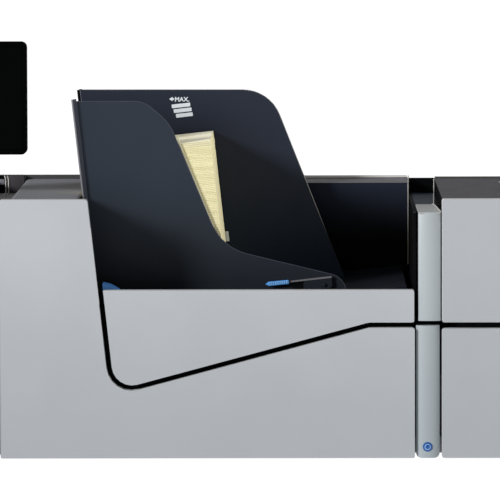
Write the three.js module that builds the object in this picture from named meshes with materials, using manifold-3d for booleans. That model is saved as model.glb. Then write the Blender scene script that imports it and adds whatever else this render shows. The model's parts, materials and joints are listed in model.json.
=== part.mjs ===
// Franking machine: a long desktop mailing machine with a lifting envelope hopper in the middle.
// Millimetres. +X right, +Y to the rear, +Z up. Origin at the middle of the footprint, on the table.

import * as THREE from 'three';
import { mergeVertices } from 'three/addons/utils/BufferGeometryUtils.js';
import Module from 'manifold-3d';

const wasm = await Module();
wasm.setup();

// ---------- driving dimensions ----------

const HALF_LENGTH = 520;
const FRONT = -225;
const REAR = 225;
const PANEL_BOTTOM = 6.2;
const BODY_TOP = 317.5;
const LIPS = { left: 323, hopper: 321.4, right: 319.9, bridge: 318.1 };   // raised rear edges of the tops
const SEAM = 162.9;          // top of the lower panels
const RIGHT_SEAM = 162;      // and of the right module's lower panel
const GAP = 6.6;             // dark gap between the lower and the upper panels
const SKIN = 3;              // panel wall
const RETURN = 16;           // depth of a panel's turned-in edges
const FIT = 0.3;             // clearance between neighbours

const DOOR_LEFT = -250;      // ends of the middle module's front
const DOOR_RIGHT = 247.4;
const MAGAZINE_TOP = 215;    // top of the recess that the magazine's front panel fills
const SIDE_EDGE = 280;       // where the side modules start
const PILLAR = { upper: [251.8, 278.4], left: [250.3, 277.6], right: [249, 277.2] };   // widths, X
const PILLAR_GAP = [165.6, 171.2];
const BRIDGE_TOP = 300;      // sunken tops behind the pillars
const CORE_FRONT = -208.6;   // front end of the covers behind the front panels
const CORE_REAR = 204.7;     // rear end of the covers before the rear cover

const LEAN = Math.tan(THREE.MathUtils.degToRad(6.3));   // lean of the hopper
const SLANT_TOP = 193.1;     // where the slanted edge meets the level seam
const CORNER_Z = 79.3;       // lowest corner of the slanted edge
const CORNER_R = 31;

const MAGAZINE = [-139, 164.4];   // X, Z where the deck meets the hopper wall
const PIVOT_U = 372;         // magazine pivot, along the deck
const PIVOT_V = -9;          // and below its surface
const DECK_END = 380;
const DECK_FRONT = -200;
const DECK_REAR = 146.5;
const GUIDE_Y = 116.5;       // inner faces of the two side guides
const GUIDE_SHEET = 2;
const GUIDE_TRAVEL = 24;
const STACK = [3, 164.5, 114.5, 202];   // left, right, half width, height
const PINION_U = 150;
const GEAR_MODULE = 2;
const GEAR_TEETH = 12;
const FEED_U = 50;
const FEED_R = 14;

const FRAME_Y = 157;         // inner faces of the frame plates
const PATH_Z = 158;          // top of the transport deck
const ROLLER_R = 12;
const ROLLER_Z = PATH_Z - ROLLER_R + 1.5;
const ENTRY_X = -210;
const EXIT_X = -440;
const MOTOR = [-325, 90];
const BELT_Y = [170, 178];

const DISPLAY = [-437, -222, 365.4, 502.8];
const DISPLAY_FRONT = -110;
const POST = [-335, -60];
const TILT_AXIS = [-76, 400];

// ---------- colours and finishes ----------

const finish = (color, roughness, metalness = 0) =>
  new THREE.MeshStandardMaterial({ color, roughness, metalness });

const LIGHT_PANEL = finish(0xb9bec4, 0.45);
const DARK_TOP = finish(0x5a5b60, 0.6);
const BLACK_PLASTIC = finish(0x16181b, 0.5);
const GUIDE_PLATE = finish(0x2a2e38, 0.4);
const BLUE = finish(0x457dae, 0.45);
const SCREEN_GLASS = finish(0x060807, 0.1);
const PAPER = finish(0xede7b3, 0.9);
const STEEL = finish(0x9fa3a6, 0.35, 0.9);
const ZINC_SHEET = finish(0x8e9296, 0.5, 0.7);
const RUBBER = finish(0x1d1d1f, 0.9);
const NYLON = finish(0xdedbd0, 0.6);
const BOARD_GREEN = finish(0x1f5a38, 0.6);
const TANK_PLASTIC = finish(0xcfdbe4, 0.3);
const RED = finish(0xb23a30, 0.5);
const GREEN = finish(0x3c9a55, 0.5);

// ---------- shape helpers ----------

// A closed mesh as a solid that can be joined and cut.
function toSolid(geometry) {
  geometry.deleteAttribute('normal');
  geometry.deleteAttribute('uv');
  const merged = mergeVertices(geometry, 1e-4);
  return new wasm.Manifold(new wasm.Mesh({
    numProp: 3,
    vertProperties: merged.attributes.position.array,
    triVerts: new Uint32Array(merged.index.array),
  }));
}

function toGeometry(solid) {
  const mesh = solid.getMesh();
  const indexed = new THREE.BufferGeometry();
  indexed.setAttribute('position', new THREE.BufferAttribute(mesh.vertProperties, 3));
  indexed.setIndex(new THREE.BufferAttribute(mesh.triVerts, 1));
  const geometry = indexed.toNonIndexed();
  geometry.computeVertexNormals();
  return geometry;
}

function box(x0, x1, y0, y1, z0, z1) {
  const geometry = new THREE.BoxGeometry(x1 - x0, y1 - y0, z1 - z0);
  geometry.translate((x0 + x1) / 2, (y0 + y1) / 2, (z0 + z1) / 2);
  return toSolid(geometry);
}

// A rod along one axis. The centre holds the other two coordinates in x, y, z order.
function rod(axis, radius, from, to, centre, sides = 16) {
  const geometry = new THREE.CylinderGeometry(radius, radius, to - from, sides);
  const middle = (from + to) / 2;
  const [a, b] = centre;
  if (axis === 'x') geometry.rotateZ(Math.PI / 2).translate(middle, a, b);
  if (axis === 'y') geometry.translate(a, middle, b);
  if (axis === 'z') geometry.rotateX(Math.PI / 2).translate(a, b, middle);
  return toSolid(geometry);
}

// A closed outline through anticlockwise corners [a, b, radius], moved inwards by inset.
function outline(corners, inset = 0) {
  const count = corners.length;
  const at = (i) => new THREE.Vector2(...corners[(i + count) % count].slice(0, 2));
  const points = [];
  for (let i = 0; i < count; i++) {
    const into = at(i).sub(at(i - 1)).normalize();
    const out = at(i + 1).sub(at(i)).normalize();
    const side = new THREE.Vector2(-into.y, into.x);
    const nextSide = new THREE.Vector2(-out.y, out.x);
    const shift = side.clone().add(nextSide).multiplyScalar(inset / (1 + side.dot(nextSide)));
    const corner = at(i).add(shift);
    const turn = Math.sign(into.cross(out));
    const given = corners[i][2] ?? 0;
    const radius = turn < 0 && given === 0 ? 0 : Math.max(given - turn * inset, 0);
    const angle = Math.acos(THREE.MathUtils.clamp(into.dot(out), -1, 1));
    if (radius < 0.05 || angle < 0.01) {
      points.push(corner);
      continue;
    }
    const reach = radius * Math.tan(angle / 2);
    const centre = corner.clone().addScaledVector(into, -reach).addScaledVector(side, turn * radius);
    const steps = Math.ceil(angle / 0.32);
    for (let k = 0; k <= steps; k++) {
      const arm = side.clone().multiplyScalar(-turn * radius);
      points.push(arm.rotateAround(new THREE.Vector2(), turn * angle * k / steps).add(centre));
    }
  }
  return points;
}

// An outline of (x, z), (y, z) or (x, y) points, pushed along y, x or z.
function extrude(points, axis, from, to) {
  const settings = { depth: to - from, bevelEnabled: false };
  const geometry = new THREE.ExtrudeGeometry(new THREE.Shape(points), settings);
  if (axis === 'y') geometry.rotateX(Math.PI / 2).translate(0, to, 0);
  if (axis === 'z') geometry.translate(0, 0, from);
  if (axis === 'x') {
    const turn = new THREE.Matrix4().makeBasis(
      new THREE.Vector3(0, 1, 0), new THREE.Vector3(0, 0, 1), new THREE.Vector3(1, 0, 0));
    geometry.applyMatrix4(turn).translate(from, 0, 0);
  }
  return toSolid(geometry);
}

const join = (...solids) => solids.reduce((whole, solid) => whole.add(solid));
const cut = (solid, ...tools) => tools.reduce((rest, tool) => rest.subtract(tool), solid);

// A front panel: a thin skin with turned-in edges, open at the back.
function panelShell(corners, depth = RETURN, inset = 0) {
  const outer = extrude(outline(corners, inset), 'y', FRONT, FRONT + depth);
  return cut(outer, extrude(outline(corners, inset + SKIN), 'y', FRONT + SKIN, FRONT + depth + 1));
}

const rectangle = (a0, a1, b0, b1, radius = 0) =>
  [[a0, b0, radius], [a1, b0, radius], [a1, b1, radius], [a0, b1, radius]];

const mirrorX = (solid) => solid.mirror([1, 0, 0]);

// ---------- groups and naming ----------

const machine = new THREE.Group();
const magazine = new THREE.Group();
magazine.position.set(MAGAZINE[0], 0, MAGAZINE[1]);
magazine.rotation.y = -Math.atan(LEAN);
machine.add(magazine);

function place(parent, name, solid, material) {
  const mesh = new THREE.Mesh(toGeometry(solid), material);
  mesh.name = name;
  parent.add(mesh);
}

// ---------- outlines shared by neighbouring pieces ----------

const leanX = (z) => -144.6 + (313.8 - z) * LEAN;       // door's leaning edge
const wallX = (z) => -155.5 + (314 - z) * LEAN;         // hopper's left wall

const DOOR = [
  [DOOR_LEFT, PANEL_BOTTOM, 2], [DOOR_RIGHT, PANEL_BOTTOM, 2], [DOOR_RIGHT, SEAM, 3],
  [SLANT_TOP, SEAM, 8], [leanX(CORNER_Z), CORNER_Z, CORNER_R],
  [leanX(BODY_TOP), BODY_TOP, 3], [DOOR_LEFT, BODY_TOP, 3],
];

const POCKET = [
  [leanX(CORNER_Z), CORNER_Z, CORNER_R], [SLANT_TOP, SEAM, 8], [253.3, SEAM, 9],
  [253.3, MAGAZINE_TOP, 9], [leanX(MAGAZINE_TOP), MAGAZINE_TOP, 7],
];

const pivotX = MAGAZINE[0] + PIVOT_U * Math.cos(Math.atan(LEAN)) - PIVOT_V * Math.sin(Math.atan(LEAN));
const pivotZ = MAGAZINE[1] + PIVOT_U * Math.sin(Math.atan(LEAN)) + PIVOT_V * Math.cos(Math.atan(LEAN));

// ---------- base, feet and frame ----------

function basePan() {
  const outer = box(-514, 514, -203, 203, 10 + FIT, 30);
  return cut(outer, box(-511.3, 511.3, -200.3, 200.3, 13, 31));
}

function foot(x, y) {
  return rod('z', 14, 0, 10, [x, y], 24);
}

function framePlate(y0, y1) {
  const corners = [
    [-510, 13.3, 2], [505, 13.3, 2], [505, 100, 12], [-150, 100, 12], [-165, 115, 12],
    [-165, 280, 12], [-510, 280, 12],
  ];
  const plate = extrude(outline(corners), 'y', y0, y1);
  const window = extrude(outline(rectangle(-480, -300, 180, 265, 10)), 'y', y0 - 1, y1 + 1);
  const holes = [[ENTRY_X, ROLLER_Z], [EXIT_X, ROLLER_Z], MOTOR];
  const bores = holes.map((centre) => rod('y', 4 + FIT, y0 - 1, y1 + 1, centre));
  return cut(plate, window, ...bores);
}

function transportDeck() {
  const plate = box(-516, -142.5, -FRAME_Y + FIT, FRAME_Y - FIT, PATH_Z - 3, PATH_Z);
  const lips = [[-516, -513], [-145.5, -142.5]].map(([x0, x1]) =>
    box(x0, x1, -FRAME_Y + FIT, FRAME_Y - FIT, 146, PATH_Z - 1));
  const windows = [ENTRY_X, EXIT_X].flatMap((x) => [-1, 1].map((side) =>
    box(x - 13, x + 13, side * 45 - 17, side * 45 + 17, PATH_Z - 5, PATH_Z + 1)));
  return cut(join(plate, ...lips), ...windows);
}

// ---------- outer covers ----------

function casing(panelTop, slots = []) {
  const panel = rectangle(-HALF_LENGTH, -SIDE_EDGE, PANEL_BOTTOM, panelTop, 3);
  const lower = panelShell(panel, RETURN + 1);
  const side = box(-HALF_LENGTH, -HALF_LENGTH + SKIN, CORE_FRONT, CORE_REAR, PANEL_BOTTOM, 298);
  return cut(join(lower, side), ...slots);
}

function leftCasing() {
  const exitSlot = box(-521, -516, -130, 130, 156, 172);
  const traySlot = box(-521, -516, -107, 107, 128.5, 140);
  return casing(SEAM, [exitSlot, traySlot]);
}

function rearCover() {
  const corners = [[205, 12], [REAR, 12, 2], [REAR, 300, 4], [205, BODY_TOP]];
  const hollow = [[204, 15], [REAR - SKIN, 15], [REAR - SKIN, 298.5], [204, 315]];
  const shell = cut(
    extrude(outline(corners), 'x', -518, 518),
    extrude(outline(hollow), 'x', -515, 515));
  const inletHole = box(439.5, 468.5, 220, 226, 49.5, 72.5);
  const switchHole = box(484.5, 505.5, 220, 226, 51.5, 70.5);
  return cut(shell, inletHole, switchHole);
}

// A top cover from the front panels to y1, with a raised lip along its rear edge.
function topShell(x0, x1, y1, lipTop) {
  const outer = extrude(outline(rectangle(CORE_FRONT, y1, BRIDGE_TOP, BODY_TOP, 2)), 'x', x0, x1);
  const hollow = box(x0 + SKIN, x1 - SKIN, CORE_FRONT + SKIN, y1 - SKIN, 299, BODY_TOP - SKIN);
  return cut(join(outer, box(x0, x1, y1 - 6, y1, BODY_TOP - 4, lipTop)), hollow);
}

function leftTopCover() {
  const shell = topShell(-HALF_LENGTH + 0.4, -SIDE_EDGE - 0.4, 204.4, LIPS.left);
  const holes = [-490, -462].map((x) => rod('z', 8.4, 310, 320, [x, -185], 24));
  return cut(shell, ...holes);
}

function rightTopCover() {
  const grip = extrude(outline(rectangle(353.5, 423.5, -62, -38, 10)), 'z', BODY_TOP - 1, BODY_TOP + 10);
  return join(topShell(SIDE_EDGE + 0.4, HALF_LENGTH - 0.4, 203.2, LIPS.right), grip);
}

function upperFront(x0, x1) {
  return panelShell(rectangle(x0, x1, SEAM + GAP, BODY_TOP, 3));
}

function inkDoor() {
  const panel = upperFront(-HALF_LENGTH, -SIDE_EDGE);
  const ribs = [210, 260].map((z) => box(-518, -282, FRONT + 1, FRONT + 9, z, z + 2.5));
  return join(panel, ...ribs);
}

// ---------- pillars and the bridges behind them ----------

const PILLAR_BACK = -190;
const PILLAR_FOOT_BACK = -204;   // the lower part stops short of the base pan
const PILLAR_BOW = 9;

// Plan outline of a pillar: a bowed nose and straight sides.
function pillarPlan([x0, x1], back, inset = 0) {
  const half = (x1 - x0) / 2;
  const radius = (half * half + PILLAR_BOW * PILLAR_BOW) / (2 * PILLAR_BOW);
  const reach = Math.asin(half / radius);
  const centre = [(x0 + x1) / 2, FRONT + radius];
  const points = [];
  const steps = 10;
  for (let k = 0; k <= steps; k++) {
    const angle = -reach + 2 * reach * k / steps;
    const x = centre[0] + (radius - inset) * Math.sin(angle);
    const y = centre[1] - (radius - inset) * Math.cos(angle);
    points.push(new THREE.Vector2(THREE.MathUtils.clamp(x, x0 + inset, x1 - inset), y));
  }
  points.push(new THREE.Vector2(x1 - inset, back - inset));
  points.push(new THREE.Vector2(x0 + inset, back - inset));
  return points;
}

function pillarLower(width) {
  const [x0, x1] = width;
  const shell = extrude(pillarPlan(width, PILLAR_FOOT_BACK), 'z', PANEL_BOTTOM, PILLAR_GAP[0]);
  const inside = pillarPlan(width, PILLAR_FOOT_BACK, 2.5);
  const hollow = extrude(inside, 'z', PANEL_BOTTOM - 1, PILLAR_GAP[0] - 3);
  const face = [[x0, PANEL_BOTTOM, 6], [x1, PANEL_BOTTOM, 6], [x1, 170], [x0, 170]];
  return cut(shell, hollow).intersect(extrude(outline(face), 'y', -230, -200));
}

function pillarUpper() {
  const shell = extrude(pillarPlan(PILLAR.upper, PILLAR_BACK), 'z', PILLAR_GAP[1], 309);
  const inside = pillarPlan(PILLAR.upper, PILLAR_BACK, 2.5);
  const slope = [[-230, 299.6], [-205, 309], [-205, 320], [-230, 320]];
  const bevel = extrude(outline(slope), 'x', 240, 290);
  return cut(shell, bevel, extrude(inside, 'z', PILLAR_GAP[1] - 1, 296));
}

function rightBridge() {
  const section = [
    [246.5, 110], [249.5, 110], [249.5, 297], [276.4, 297], [276.4, 285], [279.4, 285],
    [279.4, BRIDGE_TOP], [246.5, BRIDGE_TOP],
  ];
  const front = box(246.5, 249.5, -203, PILLAR_BACK + 2, 110, BRIDGE_TOP);
  const block = box(246.5, 279.4, 190, 204.4, 298, LIPS.bridge);
  return join(extrude(outline(section), 'y', PILLAR_BACK + FIT, 204.4), front, block);
}

function leftBridge() {
  const section = [
    [-279.4, 285], [-276.4, 285], [-276.4, 297], [-243.4, 297], [-243.4, 285], [-240.4, 285],
    [-240.4, BRIDGE_TOP], [-279.4, BRIDGE_TOP],
  ];
  const block = box(-279.4, -239.8, 190, 204.4, 298, LIPS.left);
  return join(extrude(outline(section), 'y', PILLAR_BACK + FIT, 204.4), block);
}

// ---------- middle module ----------

function feederDoor() {
  const ribs = [60, 110].map((z) => box(-247, leanX(z) - 6, FRONT + 1, FRONT + 9, z, z + 2.5));
  const post = box(-200, -197.5, FRONT + 1, FRONT + 9, 9, 316);
  return join(panelShell(DOOR), ...ribs, post);
}

function feederInnerPanel() {
  const wide = extrude(outline(DOOR, -12), 'y', -207, -204);
  const limits = box(-246, 246, -208, -203, 32, 298);
  const hopper = [[leanX(206) - 1, 206], [260, 206], [260, 330], [leanX(330) - 1, 330]];
  const open = extrude(outline(hopper), 'y', -210, -200);
  const lug = extrude(outline(rectangle(221, 243, 165, 205.5, 5)), 'y', -207, -204);
  return join(cut(wide.intersect(limits), open), lug);
}

function feederHead() {
  const section = [
    [wallX(120) - SKIN, 120], [wallX(120), 120], [wallX(BODY_TOP), BODY_TOP, 4],
    [-239.5, BODY_TOP, 6], [-239.5, 302], [-236.5, 302], [-236.5, 314.5],
    [wallX(314.5) - SKIN, 314.5],
  ];
  const lip = box(-239.5, wallX(BODY_TOP) - 3, 198.4, 204.4, BODY_TOP - 8, LIPS.left);
  const sheet = join(extrude(outline(section), 'y', CORE_FRONT, 204.4), lip);
  const frontNotch = box(-230, -130, CORE_FRONT - 1, -203.4, 119, 302);
  const rearNotch = box(-230, -130, 149.6, 206, 119, 302);
  const throat = box(-146, -134, -120, 120, 158.5, 186);
  return cut(sheet, frontNotch, rearNotch, throat);
}

function hopperRearWall() {
  const corners = [[-138, 104], [246, 104], [246, BODY_TOP, 2], [-153, BODY_TOP, 1.5],
    [-153, 164], [-138, 164]];
  const outer = extrude(outline(corners), 'y', 150, 204.4);
  const lip = extrude(outline([[-153, 314], [246, 314], [246, LIPS.hopper, 2], [-153, LIPS.hopper]]),
    'y', 197, 204.4);
  const wedge = [[149, 314.9], [176, BODY_TOP + 0.1], [149, BODY_TOP + 0.1]];
  const slope = extrude(outline(wedge), 'x', -160, 250);
  const hollow = extrude(outline([[-135, 100], [243, 100], [243, 311.5, 6], [-150, 311.5],
    [-150, 167], [-135, 167]]), 'y', 153, 201.4);
  return cut(join(outer, lip), slope, hollow);
}

function hingeShaft() {
  return rod('y', 4, -204 + FIT, 150 - FIT, [pivotX, pivotZ]);
}

// ---------- drive, print and supply units inside ----------

function transportRoller(x) {
  const centre = [x, ROLLER_Z];
  const shaft = rod('y', 4, -164, 182, centre);
  const tyres = [-45, 45].map((y) => rod('y', ROLLER_R, y - 15, y + 15, centre, 28));
  return join(shaft, ...tyres, rod('y', ROLLER_R, BELT_Y[0] - 2, BELT_Y[1] + 2, centre, 28));
}

function driveMotor() {
  const can = rod('y', 28, 96, FRAME_Y - FIT, MOTOR, 32);
  return join(can, rod('y', 4, 150, 184, MOTOR));
}

function motorPulley() {
  const wheel = rod('y', ROLLER_R, BELT_Y[0] - 2, BELT_Y[1] + 2, MOTOR, 28);
  return cut(wheel, rod('y', 4 + FIT, 160, 190, MOTOR));
}

function timingBelt() {
  const loop = [[EXIT_X, ROLLER_Z], MOTOR, [ENTRY_X, ROLLER_Z]];
  const band = extrude(outline(loop, -ROLLER_R - 2.4), 'y', ...BELT_Y);
  return cut(band, extrude(outline(loop, -ROLLER_R - 0.4), 'y', BELT_Y[0] - 1, BELT_Y[1] + 1));
}

function printHead() {
  const beam = box(-412, -358, -FRAME_Y + FIT, FRAME_Y - FIT, 232, 240);
  const head = box(-412, -358, -90, 30, 166, 233);
  const shelf = box(-412, -358, -152, -89, 166, 169.7);
  return join(beam, head, shelf);
}

function inkCartridge() {
  const body = extrude(outline(rectangle(-409, -361, 170, 226, 4)), 'y', -150, -90.4);
  return join(body, box(-400, -370, -155, -149, 190, 206));
}

function controllerBoard() {
  const board = box(300, 480, -140, -30, 30, 32);
  const posts = [306, 474].flatMap((x) => [-134, -36].map((y) => rod('z', 3, 13.3, 31, [x, y], 10)));
  const chips = [[330, -110], [380, -70], [430, -110]].map(([x, y]) => box(x, x + 24, y, y + 24, 31, 36));
  return join(board, ...posts, ...chips);
}

function powerSupply() {
  return box(400, 505, 0, 150, 13.3, 80);
}

function fluidTank() {
  const body = extrude(outline(rectangle(295, 390, 0, 150, 10)), 'z', 13.3, 180);
  return join(body, rod('z', 16, 179, 198, [342, 75], 24));
}

function powerInlet() {
  const body = box(440, 468, 196, 224.5, 50, 72);
  const socket = box(442.5, 465.5, 200, 226, 52.5, 69.5);
  const pins = [[447, 58], [461, 58], [454, 64]].map(([x, z]) => box(x - 1, x + 1, 199, 210, z - 2, z + 2));
  return join(cut(body, socket), ...pins);
}

function powerSwitch() {
  const section = [[208, 53], [222, 52.5], [224, 61], [222, 69.5], [208, 69]];
  return extrude(outline(section), 'x', 485, 505);
}

function separatorPad() {
  const bar = box(-178, -168, -FRAME_Y + FIT, FRAME_Y - FIT, 178, 186);
  const section = [[-176, 185], [-170, 163.5], [-152, 163.5], [-147, 180], [-147, 185]];
  return join(bar, extrude(outline(section), 'y', -20, 20));
}

function catchTray() {
  const plate = box(-518, -300, -105, 105, 131, 134);
  const rims = [-105, 102].map((y) => box(-518, -300, y, y + 3, 131, 138));
  return join(plate, ...rims, box(-519.6, -515, -106, 106, 129, 139.5));
}

// ---------- magazine, in its own leaning frame: u along the deck, v up the wall ----------

function magazineFrontPanel() {
  return panelShell(POCKET, RETURN, GAP);
}

function magazineDeck() {
  const plate = box(1.5, DECK_END, DECK_FRONT, DECK_REAR, -3, 0);
  const skirts = [[DECK_FRONT, DECK_FRONT + 3], [DECK_REAR - 3, DECK_REAR]].map(([y0, y1]) =>
    box(8, DECK_END, y0, y1, -30, 5));
  const ribs = [8, 215, 320].map((u) => box(u, u + 3, DECK_FRONT + 1, DECK_REAR - 1, -22, -2));
  const standoffs = [45, 200, 340].map((u) =>
    box(u - 5, u + 5, FRONT + SKIN + FIT, DECK_FRONT + 1, -20, 0));
  const bearings = [-70, 64].map((y) => box(FEED_U - 10, FEED_U + 10, y, y + 6, -20, -2));
  const latchBracket = join(
    box(17, 31, DECK_FRONT, DECK_FRONT + 6, -5, 16),
    rod('y', 3, DECK_FRONT + 2, -152, [24, 10], 16));
  const pinionPin = rod('z', 3.5, -16, -2, [PINION_U, 0], 16);
  const windows = [-40, 40].map((y) => box(FEED_U - 13, FEED_U + 13, y - 15, y + 15, -5, 1));
  const near = GUIDE_Y - 0.8;
  const far = GUIDE_Y + GUIDE_SHEET + GUIDE_TRAVEL + 0.7;
  const slots = [
    box(PINION_U - 24.6, PINION_U - 15.4, -far, -near, -5, 1),
    box(PINION_U + 15.4, PINION_U + 24.6, near, far, -5, 1),
  ];
  const bores = [
    rod('y', 4 + FIT, -202, 150, [PIVOT_U, PIVOT_V]),
    rod('y', 4 + FIT, -74, 74, [FEED_U, 2.5 - FEED_R]),
  ];
  const whole = join(plate, ...skirts, ...ribs, ...standoffs, ...bearings, latchBracket, pinionPin);
  return cut(whole, ...windows, ...slots, ...bores);
}

const FRONT_GUIDE = [
  [4.5, 0.6], [307, 0.6], [307, 17.7, 23], [162.4, 70.2, 63], [116.1, 228.7, 57],
  [88.1, 258.1, 33], [4.5, 267.1],
];
const REAR_GUIDE = [[2.9, 0.6], [305.8, 0.6], [239.4, 245.2, 50], [2.9, 271.4]];

// One side guide for side -1 (front) or 1 (rear): a plate, its flared edge and the tab to its rack.
function guide(side, corners, top) {
  const inner = side * GUIDE_Y;
  const outer = side * (GUIDE_Y + GUIDE_SHEET);
  const [y0, y1] = side < 0 ? [outer, inner] : [inner, outer];
  const plate = extrude(outline(corners), 'y', y0, y1);
  const left = corners[0][0];
  const flare = [[left + 2, inner], [left - 0.4, outer], [1, outer + side * 7], [3, outer + side * 7],
    [left + 2.6, outer]];
  const ordered = side < 0 ? flare : [...flare].reverse();
  const flange = extrude(outline(ordered), 'z', 0.6, top);
  const tabU = PINION_U + side * 20;
  const tab = box(tabU - 4, tabU + 4, y0, y1, -14, 2);
  return join(plate, flange, tab);
}

// Parts of the release lever's pivot that belong to the front guide.
function frontGuide() {
  const pin = rod('y', 2.2, -126, -117, [281, 12], 12);
  const window = box(243, 256, -120, -115, 6, 18.5);
  return join(cut(guide(-1, FRONT_GUIDE, 270), window), pin);
}

const PITCH = Math.PI * GEAR_MODULE;
const BACKLASH = 0.4;
const PRESSURE = THREE.MathUtils.degToRad(20);

// A straight rack for side -1 or 1. Its spaces are centred on y = 0 at rest.
function rack(side) {
  const line = PINION_U + side * GEAR_MODULE * GEAR_TEETH / 2;
  const half = (PITCH / 2 - BACKLASH) / 2;
  const rise = Math.tan(PRESSURE);
  const tip = 1.3;
  const root = 1.9;
  const points = [];
  for (let k = -5; k < 5; k++) {
    const y = (k + 0.5) * PITCH;
    points.push([root, y - half - root * rise], [-tip, y - half + tip * rise]);
    points.push([-tip, y + half - tip * rise], [root, y + half + root * rise]);
  }
  const end = GUIDE_Y - FIT;
  const teeth = points.map(([depth, y]) => [line + side * depth, -side * y]);
  const back = line + side * 10;
  const first = [[back, side * -34], [line + side * root, side * -34]];
  const last = [[line + side * root, side * end], [back, side * end]];
  const ordered = teeth.sort((a, b) => side * (a[1] - b[1]));
  const loop = [...first.slice(0, 2), ...ordered, ...last].map(([u, y]) => new THREE.Vector2(u, y));
  return extrude(loop, 'z', -14, -6);
}

// Involute spur pinion, a tooth pointing along +u and another along -u.
function guidePinion() {
  const pitchR = GEAR_MODULE * GEAR_TEETH / 2;
  const baseR = pitchR * Math.cos(PRESSURE);
  const involute = (angle) => Math.tan(angle) - angle;
  const halfAtPitch = (PITCH / 2 - BACKLASH) / 2 / pitchR;
  const flank = [10.2, baseR, 12, 12.8, 13.5].map((radius) => {
    const angle = Math.acos(Math.min(1, baseR / Math.max(radius, baseR)));
    return [radius, halfAtPitch + involute(PRESSURE) - involute(angle)];
  });
  const points = [];
  for (let tooth = 0; tooth < GEAR_TEETH; tooth++) {
    const middle = tooth * 2 * Math.PI / GEAR_TEETH;
    const rising = flank.map(([radius, spread]) => [radius, middle - spread]);
    const falling = [...flank].reverse().map(([radius, spread]) => [radius, middle + spread]);
    for (const [radius, angle] of [...rising, ...falling]) {
      points.push(new THREE.Vector2(PINION_U + radius * Math.cos(angle), radius * Math.sin(angle)));
    }
  }
  return cut(extrude(points, 'z', -14, -6), rod('z', 3.5 + FIT, -20, 0, [PINION_U, 0], 16));
}

// A thin arm over the guide's window, with a plate round the pivot.
function releaseLever() {
  const arm = [[224, 19.4], [291, 19.4], [291, 21.4], [224, 21.2]];
  const plate = [[257, 7.5, 2], [288, 7, 2], [291, 10, 2], [291, 20], [257, 20]];
  const whole = join(extrude(outline(arm), 'y', -124, -121), extrude(outline(plate), 'y', -123.5, -121));
  return cut(whole, rod('y', 2.5, -130, -115, [281, 12], 12));
}

// The finger grip, pushed over the arm's end.
function releaseGrip() {
  const section = [[210, 20.6], [214.5, 18], [239, 17.8], [239, 23], [214.5, 23.4]];
  const socket = box(223.7, 240, -124.3, -120.7, 19.1, 21.7);
  return cut(extrude(outline(section), 'y', -127, -119.2), socket);
}

function latchLever() {
  const top = [[38.5, 33.5], [34, 38, 8], [25, 44.5, 12], [16, 47.5]];
  const wedge = extrude(outline([[16, 31], [38.5, 31], ...top]), 'y', -190, -153);
  const arm = box(20, 28, -184, -168, 10, 32);
  const hub = rod('y', 7, -184, -168, [24, 10], 20);
  return cut(join(wedge, arm, hub), rod('y', 3 + FIT, -200, -140, [24, 10], 16));
}

function feedShaft() {
  return rod('y', 4, -76, 76, [FEED_U, 2.5 - FEED_R]);
}

function feedRoller(y) {
  const centre = [FEED_U, 2.5 - FEED_R];
  return cut(rod('y', FEED_R, y - 13, y + 13, centre, 28), rod('y', 4 + FIT, y - 20, y + 20, centre));
}

function envelopeStack() {
  const [left, right, half, top] = STACK;
  return box(left, right, -half, half, 3, top);
}

// ---------- display and controls ----------

function displayPost() {
  return join(
    rod('z', 26, BODY_TOP + FIT, 322, POST, 32),
    rod('z', 15, 321, 345, POST, 28));
}

function displayYoke() {
  const [y, z] = TILT_AXIS;
  const disc = rod('z', 16, 345 + FIT, 352, POST, 28);
  const upright = box(-350, -320, -76, -66, 348, z);
  return join(disc, upright, rod('x', 9, -361, -309, [y, z], 24), rod('x', 4, -373, -297, [y, z]));
}

function displayHousing() {
  const [x0, x1, z0, z1] = DISPLAY;
  const body = extrude(outline(rectangle(x0, x1, z0, z1, 7)), 'y', DISPLAY_FRONT, -92);
  const recess = extrude(outline(rectangle(x0 + 6, x1 - 6, z0 + 6, z1 - 6, 3)),
    'y', DISPLAY_FRONT - 1, DISPLAY_FRONT + 2);
  const [y, z] = TILT_AXIS;
  const lugs = [-372, -308].map((x) => box(x, x + 10, -93, y + 7, z - 9, z + 9));
  return cut(join(body, ...lugs), recess, rod('x', 4 + FIT, -380, -290, [y, z]));
}

function displayScreen() {
  const [x0, x1, z0, z1] = DISPLAY;
  const corners = rectangle(x0 + 6.4, x1 - 6.4, z0 + 6.4, z1 - 6.4, 2.6);
  return extrude(outline(corners), 'y', DISPLAY_FRONT + 0.2, DISPLAY_FRONT + 1.7);
}

function pushButton(x) {
  return rod('z', 8, 308, 320.3, [x, -185], 24);
}

// ---------- assembly ----------

place(machine, 'base_pan', basePan(), ZINC_SHEET);
for (const [side, x] of [['left', -470], ['right', 470]]) {
  place(machine, `foot_front_${side}`, foot(x, -180), RUBBER);
  place(machine, `foot_rear_${side}`, foot(x, 180), RUBBER);
}
place(machine, 'front_frame_plate', framePlate(-FRAME_Y - 3, -FRAME_Y), ZINC_SHEET);
place(machine, 'rear_frame_plate', framePlate(FRAME_Y, FRAME_Y + 3), ZINC_SHEET);
place(machine, 'transport_deck', transportDeck(), STEEL);
place(machine, 'left_casing', leftCasing(), LIGHT_PANEL);
place(machine, 'right_casing', mirrorX(casing(RIGHT_SEAM)), LIGHT_PANEL);
place(machine, 'rear_cover', rearCover(), LIGHT_PANEL);
place(machine, 'left_top_cover', leftTopCover(), DARK_TOP);
place(machine, 'right_top_cover', rightTopCover(), DARK_TOP);
place(machine, 'right_upper_front', upperFront(SIDE_EDGE, HALF_LENGTH), LIGHT_PANEL);
place(machine, 'ink_door', inkDoor(), LIGHT_PANEL);
place(machine, 'pillar_right_lower', pillarLower(PILLAR.right), LIGHT_PANEL);
place(machine, 'pillar_right_upper', pillarUpper(), LIGHT_PANEL);
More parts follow.
